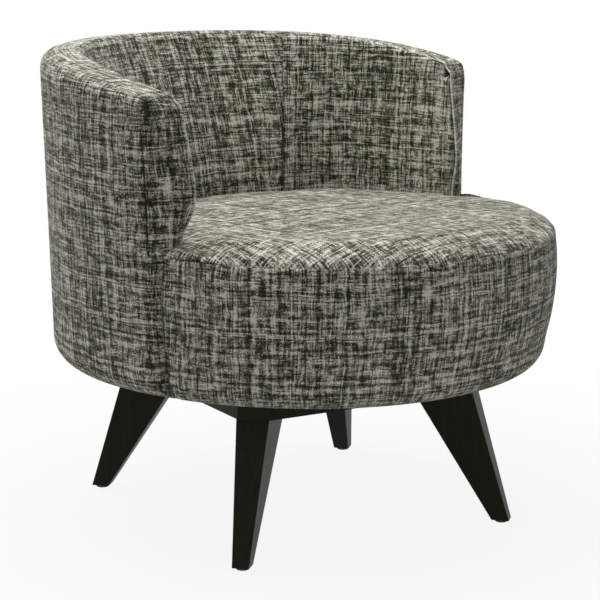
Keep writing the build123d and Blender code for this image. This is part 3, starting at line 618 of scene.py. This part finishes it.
def tweed():
    """Slubby plain weave of dark, grey and cream yarns."""
    found = bpy.data.materials.get("tweed_cloth")
    if found:
        return found
    t = bpy.context.scene.tub_chair_tweed
    material, tree, surface = new_material("tweed_cloth")
    cloth = put(tree, "UVMap", uv_map="weave").outputs["UV"]
    wander = put(tree, "TexNoise", {"Vector": cloth, "Scale": 28.0, "Detail": 1.0}).outputs["Color"]
    bend = put(tree, "VectorMath", {0: wander, 1: (0.5, 0.5, 0.5)}, operation="SUBTRACT").outputs[0]
    bend = put(tree, "VectorMath", {0: bend, "Scale": 0.006}, operation="SCALE").outputs[0]
    cloth = put(tree, "VectorMath", {0: cloth, 1: bend}, operation="ADD").outputs[0]
    parts = put(tree, "SeparateXYZ", {"Vector": cloth})
    across, up = parts.outputs["X"], parts.outputs["Y"]
    warp, warp_round, warp_number = yarn(tree, across, up, 3.0)
    weft, weft_round, weft_number = yarn(tree, up, across, 11.0)
    parity = sum_of(tree, "PINGPONG", sum_of(tree, "ADD", warp_number, weft_number), 1.0)
    over = sum_of(tree, "GREATER_THAN", parity, 0.5)
    shown = put(tree, "Mix", {0: over, 2: warp, 3: weft}).outputs[0]
    both = sum_of(tree, "ADD", warp, weft)
    shade = sum_of(tree, "MULTIPLY", both, t.blend)
    shade = sum_of(tree, "ADD", shade, sum_of(tree, "MULTIPLY", shown, 1 - 2 * t.blend))
    shade = weigh_in(tree, shade, noise(tree, cloth, scale=720.0, detail=1.0), t.fibre_weight)
    # Painted highlight and shade at folds and seams, from the fold attribute, added to the yarns' tone.
    fold = put(tree, "Attribute", attribute_name="fold").outputs["Fac"]
    shade = sum_of(tree, "ADD", shade, sum_of(tree, "MULTIPLY", fold, t.painted_fold_shading))
    height = put(tree, "Mix", {0: over, 2: warp_round, 3: weft_round}).outputs[0]
    span = {"Value": shade, "From Min": t.shade_low, "From Max": t.shade_high}
    spread = put(tree, "MapRange", span).outputs[0]
    stops = [(0.19, t.dark), (0.46, t.mid), (0.65, t.greige), (0.92, t.pale)]
    tree.links.new(ramp(tree, spread, stops), surface.inputs["Base Color"])
    relief = sum_of(tree, "ADD", height, sum_of(tree, "MULTIPLY", spread, 0.8))
    tree.links.new(bump(tree, relief, 0.0006, 0.55), surface.inputs["Normal"])
    surface.inputs["Roughness"].default_value = 0.92
    surface.inputs["Specular IOR Level"].default_value = 0.15
    surface.inputs["Sheen Weight"].default_value = 0.12
    surface.inputs["Sheen Roughness"].default_value = 0.5
    return material


def stained_wood():
    """Dark espresso stain over straight grain, a little thin in places."""
    c = bpy.context.scene.tub_chair_finishes
    material, tree, surface = new_material("espresso_wood")
    place = put(tree, "TexCoord").outputs["Object"]
    grain_place = put(tree, "Mapping", {"Vector": place, "Scale": (160.0, 160.0, 9.0)}).outputs[0]
    grain = noise(tree, grain_place, detail=5.0, rough=0.6)
    blotch = noise(tree, place, scale=14.0, detail=2.0)
    share = sum_of(tree, "ADD", sum_of(tree, "MULTIPLY", grain, 0.7), sum_of(tree, "MULTIPLY", blotch, 0.3))
    tree.links.new(ramp(tree, share, [(0.38, c.stain), (0.7, c.stain_light)]), surface.inputs["Base Color"])
    rough = put(tree, "MapRange", {"Value": share, "To Min": 0.34, "To Max": 0.52}).outputs[0]
    tree.links.new(rough, surface.inputs["Roughness"])
    tree.links.new(bump(tree, grain, 0.0003, 0.25), surface.inputs["Normal"])
    surface.inputs["Specular IOR Level"].default_value = 0.08
    return material


def bare_plywood():
    """Plywood with its layers on the edges and a pale face grain."""
    c = bpy.context.scene.tub_chair_finishes
    material, tree, surface = new_material("bare_plywood")
    place = put(tree, "TexCoord").outputs["Object"]
    face = put(tree, "Mapping", {"Vector": place, "Scale": (7.0, 90.0, 90.0)}).outputs[0]
    grain = noise(tree, face, detail=4.0)
    up = put(tree, "SeparateXYZ", {"Vector": place}).outputs["Z"]
    layers = sum_of(tree, "SINE", sum_of(tree, "MULTIPLY", up, 2 * pi / 0.003))
    share = sum_of(tree, "ADD", grain, sum_of(tree, "MULTIPLY", layers, 0.12))
    tree.links.new(ramp(tree, share, [(0.35, c.ply_dark), (0.6, c.ply)]), surface.inputs["Base Color"])
    tree.links.new(bump(tree, grain, 0.0003, 0.3), surface.inputs["Normal"])
    surface.inputs["Roughness"].default_value = 0.75
    return material


def metal(name, colour, rough, brushed):
    """Steel with a fine worked surface."""
    material, tree, surface = new_material(name)
    place = put(tree, "TexCoord").outputs["Object"]
    lay = put(tree, "Mapping", {"Vector": place, "Scale": (brushed, brushed, brushed * 0.2)}).outputs[0]
    grain = noise(tree, lay, detail=3.0)
    dark = tuple(part * 0.7 for part in colour)
    tree.links.new(ramp(tree, grain, [(0.35, dark), (0.65, tuple(colour))]), surface.inputs["Base Color"])
    spread = put(tree, "MapRange", {"Value": grain, "To Min": rough - 0.08, "To Max": rough + 0.1}).outputs[0]
    tree.links.new(spread, surface.inputs["Roughness"])
    surface.inputs["Metallic"].default_value = 1.0
    return material


def matted(name, colour, scale, rough, relief):
    """Felt, lining or moulded nylon: a fine matted surface."""
    material, tree, surface = new_material(name)
    place = put(tree, "TexCoord").outputs["Object"]
    fibres = noise(tree, place, scale=scale, detail=4.0, rough=0.7)
    light = tuple(min(1.0, part * 1.7) for part in colour)
    tree.links.new(ramp(tree, fibres, [(0.3, tuple(colour)), (0.7, light)]), surface.inputs["Base Color"])
    tree.links.new(bump(tree, fibres, relief, 0.4), surface.inputs["Normal"])
    surface.inputs["Roughness"].default_value = rough
    return material


def finish_nodes(material, names):
    """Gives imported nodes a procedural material."""
    for name in names:
        for place in NODES[name].material_slots:
            place.material = material


# Operators, one for each piece or group of like pieces


class TUBCHAIR_OT_seat_top(bpy.types.Operator):
    """Crowned round seat panel, tucked in beside the tub"""

    bl_idname = "tubchair.seat_top"
    bl_label = "Seat top"

    def execute(self, context):
        s = sizes()
        top_rings = ceil(s.seat_edge_r / s.cloth_grid)
        rings = top_rings + TURN_RINGS + LIP_ROWS
        edge_z = SEAT_TOP - s.seat_crown
        lip_z = SEAM_Z + s.groove * LIP_SHARE
        turn_r = s.seam_r - s.seat_edge_r

        def profile(ring):
            """The level seat's (radius, height): the crown, the roll over the front, the lip at the seam."""
            if ring <= top_rings:
                radius = s.seat_edge_r * ring / top_rings
                return radius, SEAT_TOP - s.seat_crown * (radius / s.seat_edge_r) ** 2
            if ring <= top_rings + TURN_RINGS:
                turn = pi / 2 * (ring - top_rings) / TURN_RINGS
                return s.seat_edge_r + turn_r * sin(turn), lip_z + (edge_z - lip_z) * cos(turn)
            into = (ring - top_rings - TURN_RINGS) / LIP_ROWS
            return s.seam_r - s.groove * into, mix(lip_z, SEAM_Z, into)

        runs = [0.0]
        for ring in range(rings):
            here, there = profile(ring), profile(ring + 1)
            runs.append(runs[-1] + hypot(there[0] - here[0], there[1] - here[1]))

        def place(column, row):
            across, up = column - rings, row - rings
            ring = max(abs(across), abs(up))
            if ring == 0:
                return Vector((0, 0, SEAT_TOP)), (0, 0), FAR
            if abs(across) >= abs(up):
                angle = pi / 4 * up / across + (pi if across < 0 else 0)
            else:
                angle = pi / 2 - pi / 4 * across / up + (pi if up < 0 else 0)
            radius, height = profile(ring)
            x, y = cos(angle), sin(angle)
            draw = mix(1.0, drum_draw(atan2(x, -y)), (ring / rings) ** SEAT_END_POWER) if y < 0.2 else 1.0
            lift = -min(radius, s.seat_edge_r) * (s.seat_pitch * y + s.seat_lean * x)
            over_seam = max(0.0, (height - lip_z) / (edge_z - lip_z))
            height += lift * min(1.0, over_seam)
            point = Vector((x * radius * draw, y * radius * draw, height))
            cloth_angle = angle + s.seat_weave
            return point, (cos(cloth_angle) * runs[ring], sin(cloth_angle) * runs[ring]), FAR

        bm = panel_grid(2 * rings, 2 * rings, place)
        corner = arm_corner()

        def room(point):
            """Ways to the tub's inside and to the arm's end; the seat is free where one is positive."""
            swing = atan2(point.x, point.y)
            spare = s.corner_tuck * corner_pull(point, corner) - s.soft_gap
            wall = inside_r(swing, s.seat_level) - hypot(point.x, point.y) + spare
            return wall, -point.y - end_forward(abs(point.x), s.seat_level) + spare

        taken = [f for f in bm.faces if max(room(f.calc_center_median())) < 0]
        seam_edges = {e for e in bm.edges if e.is_boundary}
        bmesh.ops.delete(bm, geom=taken, context="FACES")
        beside = [e for e in bm.edges if e.is_boundary and e not in seam_edges]
        for vert in {v for e in beside for v in e.verts}:
            wall, end = room(vert.co)
            if abs(wall) < abs(end):
                radius = hypot(vert.co.x, vert.co.y)
                vert.co.x *= (radius + wall) / radius
                vert.co.y *= (radius + wall) / radius
            else:
                vert.co.y += end
        for vert in bm.verts:
            way = max(room(vert.co))
            vert.co.z -= s.tuck_roll * exp(-((max(way, 0.0) / s.tuck_reach) ** 2))
            vert.co.z -= s.dimple * corner_pull(vert.co, corner)
        tucked = bmesh.ops.extrude_edge_only(bm, edges=beside)
        for vert in {v for v in tucked["geom"] if isinstance(v, bmesh.types.BMVert)}:
            vert.co.z -= s.tuck
            if hypot(vert.co.x, vert.co.y) > s.seat_edge_r:
                vert.co.xy *= s.flap_draw
        face_outwards(bm, lambda point: Vector((0, 0, 1)))
        piece = new_piece("seat_top_panel", bm)
        blow_up(piece, SWELL_SEAT)
        finish_panel(piece, tweed(), ("seat_top_cover", "seat_foam"))
        return {"FINISHED"}


class TUBCHAIR_OT_seat_boxing(bpy.types.Operator):
    """Bulging boxing round the front of the seat, turned under at the bottom"""

    bl_idname = "tubchair.seat_boxing"
    bl_label = "Seat boxing"

    def execute(self, context):
        s = sizes()
        lip_z = SEAM_Z - s.groove * LIP_SHARE
        wall_rows = ceil((lip_z - DRUM_LOW) / s.cloth_grid)
        under_rows = ceil((s.wall_low_r - s.underturn_r) / s.cloth_grid)
        rows = LIP_ROWS + wall_rows + under_rows
        columns = 2 * ceil(pi / 2 * DRUM_FRONT_R / s.cloth_grid)

        def lip_place(point, into):
            """A place on the lip that turns into the seam round the seat."""
            radius = hypot(point.x, point.y)
            inward = 1 - s.groove * into / radius
            return Vector((point.x * inward, point.y * inward, mix(lip_z, SEAM_Z, into)))

        def profile(row):
            """The boxing's (radius, height, place up the cloth)."""
            row = max(row, LIP_ROWS)
            height = mix(lip_z, DRUM_LOW, min(1.0, (row - LIP_ROWS) / wall_rows))
            under = max(0, row - LIP_ROWS - wall_rows) / under_rows
            ahead = Vector((0, -FAR, max(height, s.wall_bend_z)))
            spot = BOXING_SKIN.ray_cast(ahead, Vector((0, 1, 0)))[0]
            radius = mix(-spot.y, s.underturn_r, under)
            return radius, height, height - under * (s.wall_low_r - s.underturn_r)

        def place(column, row):
            radius, height, cloth_up = profile(row)
            bearing = pi / 2
            for _ in range(8):
                drawn = radius * drum_draw(bearing)
                forward = end_forward(drawn * sin(bearing), height) + s.soft_gap
                bearing = acos(forward / drawn)
            share = gathered(column / columns)
            bearing *= 2 * share - 1
            drawn = radius * drum_draw(bearing)
            point = Vector((drawn * sin(bearing), -drawn * cos(bearing), height))
            point = BOXING_SKIN.find_nearest(point)[0]
            if row < LIP_ROWS:
                point = lip_place(point, 1 - row / LIP_ROWS)
            way = min(share, 1 - share) * columns * s.cloth_grid
            return point, (bearing * DRUM_FRONT_R + CUT_BOXING, cloth_up), way

        bm = panel_grid(columns, rows, place)
        face_outwards(bm, lambda point: Vector((point.x, point.y, 0)))
        roll_seams(bm, drum_core, drum_shade)
        piece = new_piece("seat_boxing_panel", bm)
        blow_up(piece, SWELL_BOXING)
        finish_panel(piece, tweed(), ("seat_boxing_cover", "boxing_padding"))
        return {"FINISHED"}


class TUBCHAIR_OT_outside(bpy.types.Operator):
    """Outside cloth of the tub, over the rim and round the arms' ends to their inner seams"""

    bl_idname = "tubchair.outside"
    bl_label = "Outside"

    def execute(self, context):
        s = sizes()
        under_rows = ceil((s.wall_low_r - s.underturn_r) / s.cloth_grid)
        wall_rows = ceil((s.rim_z - TUB_LOW) / s.cloth_grid)
        shoulder_row = under_rows + wall_rows
        half = ceil(rim_end(0)[0] * s.wall_low_r / s.cloth_grid)
        columns = 2 * (half + RIM_ROWS)
        rim_width = wall_r(s.rim_z) - s.rim_inner_r
        end_width = s.arm_end_outer_r - s.arm_inner_r
        outer_run = rim_end(0)[0] * s.wall_low_r

        def keep(corners):
            """Leave out the notches over the arms' ends, whose edges are sewn in a mitre."""
            side = min(abs(column - half - RIM_ROWS) for column, row in corners)
            return side < half or max(row for column, row in corners) <= shoulder_row

        def place(column, row):
            from_middle = column - half - RIM_ROWS
            side = 1 if from_middle >= 0 else -1
            steps = abs(from_middle)
            end_share = gathered_to_end(max(0, steps - half) / RIM_ROWS, EDGE_GATHER)
            along = min(1.0, steps / half)
            if row > shoulder_row:
                share = gathered_to_end((row - shoulder_row) / RIM_ROWS, EDGE_GATHER)
                point = rim_place(share, along)
                cloth = (along * outer_run, point.z + share * rim_width)
                way = (1 - share) * rim_width
            else:
                up = max(0, row - under_rows) / wall_rows
                under = 1 - min(1.0, row / under_rows)
                top = rim_place(end_share, along).z
                height = mix(TUB_LOW, top, up)
                x, forward = end_place(end_share, height)
                swing = along * (pi / 2 + atan2(forward, x))
                point = polar(swing, mix(hypot(x, forward), s.underturn_r, under), height)
                cloth_along = along * outer_run + end_share * end_width
                cloth = (cloth_along, height - under * (s.wall_low_r - s.underturn_r))
                way = (1 - end_share) * end_width if steps > half else FAR
            point.x *= side
            point = TUB_SKIN.find_nearest(point)[0]
            return point, (side * cloth[0] + CUT_OUTSIDE, cloth[1]), way

        bm = panel_grid(columns, shoulder_row + RIM_ROWS, place, keep)
        bmesh.ops.remove_doubles(bm, verts=bm.verts, dist=WELD)
        face_outwards(bm, lambda point: Vector((point.x, point.y, 0)))
        roll_seams(bm, wall_core, welt_highlight)
        tuck_corners(bm)
        pinch_mitres(bm)
        piece = new_piece("outside_panel", bm)
        blow_up(piece, SWELL_OUTSIDE)
        finish_panel(piece, tweed(), ("outside_cover", "outside_padding"))
        return {"FINISHED"}


def inside_place(swing, up, top):
    """A place on the tub's inside, up from under the seat to the seam at the rim."""
    s = sizes()
    height = mix(PAD_LOW, top.z, up)
    shoulder = top.z - s.rim_inner_round - EDGE_ROOM
    radius = inside_r(swing, min(height, shoulder))
    over = max(0.0, (height - shoulder) / (top.z - shoulder))
    radius = mix(radius, hypot(top.x, top.y), over)
    return TUB_SKIN.find_nearest(polar(swing, radius, height))[0]


class TUBCHAIR_OT_centre_back(bpy.types.Operator):
    """Raked centre back panel between its two seams"""

    bl_idname = "tubchair.centre_back"
    bl_label = "Centre back"

    def execute(self, context):
        s = sizes()
        columns = ceil(2 * s.back_seam * s.rim_inner_r / s.cloth_grid)
        rows = ceil((s.rim_z - PAD_LOW) / s.cloth_grid)

        def place(column, row):
            share = gathered(column / columns)
            up = gathered_to_end(row / rows, PANEL_GATHER)
            swing = s.back_seam * (2 * share - 1)
            top = rim_place(1, swing / rim_end(1)[0])
            point = inside_place(swing, up, top)
            side_way = min(share, 1 - share) * 2 * s.back_seam * s.rim_inner_r
            top_way = (1 - up) * (top.z - PAD_LOW)
            return point, (point.x + CUT_BACK, point.z * BACK_STRETCH), min(side_way, top_way)

        bm = panel_grid(columns, rows, place)
        face_outwards(bm, lambda point: Vector((-point.x, -point.y, 0)))
        roll_seams(bm, wall_core, crease_shade)
        piece = new_piece("centre_back_panel", bm)
        blow_up(piece, SWELL_BACK)
        finish_panel(piece, tweed(), ("centre_back_cover", "centre_back_foam"))
        return {"FINISHED"}


class TUBCHAIR_OT_arms(bpy.types.Operator):
    """Inside panels of the two arms, from the back seams to the corners of the arms' ends"""

    bl_idname = "tubchair.arms"
    bl_label = "Arms"

    def execute(self, context):
        s = sizes()
        rim_swing = rim_end(1)[0]
        run = (rim_swing - s.back_seam) * s.arm_inner_r
        columns = ceil(run / s.cloth_grid)
        rows = ceil((s.rim_z - PAD_LOW) / s.cloth_grid)
        for name, side in SIDES:

            def place(column, row):
                share = gathered(column / columns)
                up = gathered_to_end(row / rows, PANEL_GATHER)
                swing_top = mix(s.back_seam, rim_swing, share)
                top = rim_place(1, swing_top / rim_swing)
                height = mix(PAD_LOW, top.z, up)
                x, forward = end_place(1, height)
                swing = mix(s.back_seam, pi / 2 + atan2(forward, x), share)
                swing = mix(swing, swing_top, up**ARM_TOP_POWER)
                point = inside_place(swing, up, top)
                way = min(share * run, (1 - share) * run, (1 - up) * (top.z - PAD_LOW))
                point.x *= side
                return point, (side * (swing * s.arm_inner_r) + CUT_ARMS, point.z), way

            bm = panel_grid(columns, rows, place)
            face_outwards(bm, lambda point: Vector((-point.x, -point.y, 0)))
            roll_seams(bm, wall_core, crease_shade)
            tuck_corners(bm)
            piece = new_piece(name + "_arm_panel", bm)
            blow_up(piece, SWELL_ARM)
            finish_panel(piece, tweed(), (name + "_arm_cover", name + "_arm_foam"))
        return {"FINISHED"}


class TUBCHAIR_OT_base(bpy.types.Operator):
    """Stained legs and board on their glides"""

    bl_idname = "tubchair.base"
    bl_label = "Base"

    def execute(self, context):
        c = context.scene.tub_chair_finishes
        legs = [name for name in NODES if name.startswith("leg_") and name != "leg_screws"]
        finish_nodes(stained_wood(), legs + ["base_board"])
        finish_nodes(matted("moulded_nylon", c.nylon, 900.0, 0.5, 0.0001), ["foot_glides"])
        return {"FINISHED"}


class TUBCHAIR_OT_ironwork(bpy.types.Operator):
    """Swivel plates, bearing, springs, screws and bolts"""

    bl_idname = "tubchair.ironwork"
    bl_label = "Ironwork"

    def execute(self, context):
        c = context.scene.tub_chair_finishes
        plates = ["swivel_lower_plate", "swivel_upper_plate", "swivel_pivot_rivet", "ball_cage"]
        finish_nodes(metal("blackened_steel", c.steel, 0.42, 240.0), plates)
        screws = ["leg_screws", "lower_plate_screws", "frame_screws", "upper_plate_bolts", "tee_nuts"]
        finish_nodes(metal("zinc_plate", c.zinc, 0.34, 600.0), screws)
        finish_nodes(metal("oiled_wire", c.wire, 0.38, 400.0), ["seat_springs", "spring_clips"])
        finish_nodes(metal("polished_balls", c.zinc, 0.12, 300.0), ["bearing_balls"])
        return {"FINISHED"}


class TUBCHAIR_OT_frame(bpy.types.Operator):
    """Wooden frame, felt and lining"""

    bl_idname = "tubchair.frame"
    bl_label = "Frame"

    def execute(self, context):
        c = context.scene.tub_chair_finishes
        uprights = ["back_uprights", "left_arm_upright", "right_arm_upright"]
        boards = ["seat_board", "frame_posts", "deck_ring", "front_ply", "tub_ply"]
        finish_nodes(bare_plywood(), boards + uprights)
        finish_nodes(matted("pressed_felt", c.felt, 500.0, 0.95, 0.0006), ["spring_pad"])
        finish_nodes(matted("lining_cloth", c.lining, 1400.0, 0.85, 0.0002), ["dust_cover"])
        return {"FINISHED"}


def lamp(name, place, energy, size):
    """Soft square lamp that faces the chair."""
    light = bpy.data.lights.new(name, "AREA")
    light.energy = energy
    light.size = size
    made = bpy.data.objects.new(name, light)
    made.location = place
    made.rotation_euler = (LAMP_AIM - Vector(place)).to_track_quat("-Z", "Y").to_euler()
    bpy.context.scene.collection.objects.link(made)


class TUBCHAIR_OT_stage(bpy.types.Operator):
    """Pale floor, soft light and the camera"""

    bl_idname = "tubchair.stage"
    bl_label = "Stage"

    def execute(self, context):
        t = context.scene.tub_chair_stage
        scene = context.scene
        scene.view_settings.view_transform = "Standard"
        self.make_floor(t)
        self.make_world(scene)
        for name, place, energy, size in LAMPS:
            lamp(name, place, energy, size)
        self.make_camera(scene, t)
        return {"FINISHED"}

    def make_floor(self, t):
        """Wide floor that looks white and keeps the chair's shadow, with a little painted shade where its
        glow fades near the chair.
        """
        bm = bmesh.new()
        bmesh.ops.create_grid(bm, x_segments=1, y_segments=1, size=8.0)
        floor = new_piece("floor", bm)
        material, tree, surface = new_material("pale_floor")
        surface.inputs["Base Color"].default_value = (*t.floor_tone, 1.0)
        surface.inputs["Roughness"].default_value = 0.9
        path = put(tree, "LightPath")
        seen = sum_of(tree, "MAXIMUM", path.outputs["Is Camera Ray"], path.outputs["Is Glossy Ray"])
        seen = sum_of(tree, "MAXIMUM", seen, path.outputs["Is Transmission Ray"])
        glow = put(tree, "Emission", {"Color": (1, 1, 1, 1), "Strength": 1.0})
        place = put(tree, "TexCoord").outputs["Object"]
        away = put(tree, "VectorMath", {0: place}, operation="LENGTH").outputs["Value"]
        # Painted shade: from 1.1 m out the floor glows fully white; nearer the chair the glow falls to 0.9,
        # greying the floor round the chair on top of its real shadow.
        painted_shade_fade = {"Value": away, "From Min": 0.3, "From Max": 1.1, "To Min": 0.9, "To Max": 1.0}
        share = sum_of(tree, "MULTIPLY", seen, put(tree, "MapRange", painted_shade_fade).outputs[0])
        both = put(tree, "MixShader", {0: share, 1: surface.outputs[0], 2: glow.outputs[0]})
        tree.links.new(both.outputs[0], tree.nodes["Material Output"].inputs["Surface"])
        floor.data.materials.append(material)

    def make_world(self, scene):
        """Even soft light, and white where the camera looks past the floor."""
        world = bpy.data.worlds.new("studio")
        scene.world = world
        world.use_nodes = True
        tree = world.node_tree
        path = put(tree, "LightPath")
        seen = sum_of(tree, "MAXIMUM", path.outputs["Is Camera Ray"], path.outputs["Is Glossy Ray"])
        seen = sum_of(tree, "MAXIMUM", seen, path.outputs["Is Transmission Ray"])
        strength = put(tree, "Mix", {0: seen, 2: SKY_STRENGTH, 3: 1.0}).outputs[0]
        back = tree.nodes["Background"]
        back.inputs["Color"].default_value = (1, 1, 1, 1)
        tree.links.new(strength, back.inputs["Strength"])

    def make_camera(self, scene, t):
        """Camera at the photograph's place."""
        data = bpy.data.cameras.new("camera")
        data.lens = t.camera_lens
        data.sensor_width = 36.0
        camera = bpy.data.objects.new("camera", data)
        scene.collection.objects.link(camera)
        place = Vector(t.camera_place)
        level = Vector((-place.x, -place.y, 0)).normalized()
        right = Vector((level.y, -level.x, 0))
        ahead = level * cos(t.camera_pitch) - Vector((0, 0, sin(t.camera_pitch)))
        up = right.cross(ahead)
        tilted = right * cos(t.camera_roll) + up * sin(t.camera_roll)
        upright = tilted.cross(ahead)
        turn = Matrix((tilted, upright, -ahead)).transposed()
        camera.matrix_world = Matrix.Translation(place) @ turn.to_4x4()
        scene.camera = camera


OPERATORS = (
    TUBCHAIR_OT_seat_top,
    TUBCHAIR_OT_seat_boxing,
    TUBCHAIR_OT_outside,
    TUBCHAIR_OT_centre_back,
    TUBCHAIR_OT_arms,
    TUBCHAIR_OT_base,
    TUBCHAIR_OT_ironwork,
    TUBCHAIR_OT_frame,
    TUBCHAIR_OT_stage,
)
GROUPS = (
    ("tub_chair_sizes", TubChairSizes),
    ("tub_chair_tweed", TubChairTweed),
    ("tub_chair_finishes", TubChairFinishes),
    ("tub_chair_stage", TubChairStage),
)


class TUBCHAIR_PT_panel(bpy.types.Panel):
    """Sidebar panel with the chair's pieces and sizes"""

    bl_idname = "TUBCHAIR_PT_panel"
    bl_label = "Swivel Tub Chair"
    bl_space_type = "VIEW_3D"
    bl_region_type = "UI"
    bl_category = "Tub Chair"

    def draw(self, context):
        for operator in OPERATORS:
            self.layout.operator(operator.bl_idname)
        for name, group in GROUPS:
            box = self.layout.box()
            for key in group.__annotations__:
                box.prop(getattr(context.scene, name), key)


def register():
    for name, group in GROUPS:
        bpy.utils.register_class(group)
        setattr(bpy.types.Scene, name, PointerProperty(type=group))
    for cls in (*OPERATORS, TUBCHAIR_PT_panel):
        bpy.utils.register_class(cls)


def unregister():
    for cls in (TUBCHAIR_PT_panel, *reversed(OPERATORS)):
        bpy.utils.unregister_class(cls)
    for name, group in reversed(GROUPS):
        delattr(bpy.types.Scene, name)
        bpy.utils.unregister_class(group)


def main():
    register()
    bpy.ops.tubchair.stage()
    bpy.ops.tubchair.base()
    bpy.ops.tubchair.ironwork()
    bpy.ops.tubchair.frame()
    bpy.ops.tubchair.seat_top()
    bpy.ops.tubchair.seat_boxing()
    bpy.ops.tubchair.outside()
    bpy.ops.tubchair.centre_back()
    bpy.ops.tubchair.arms()


if __name__ == "__main__":
    main()
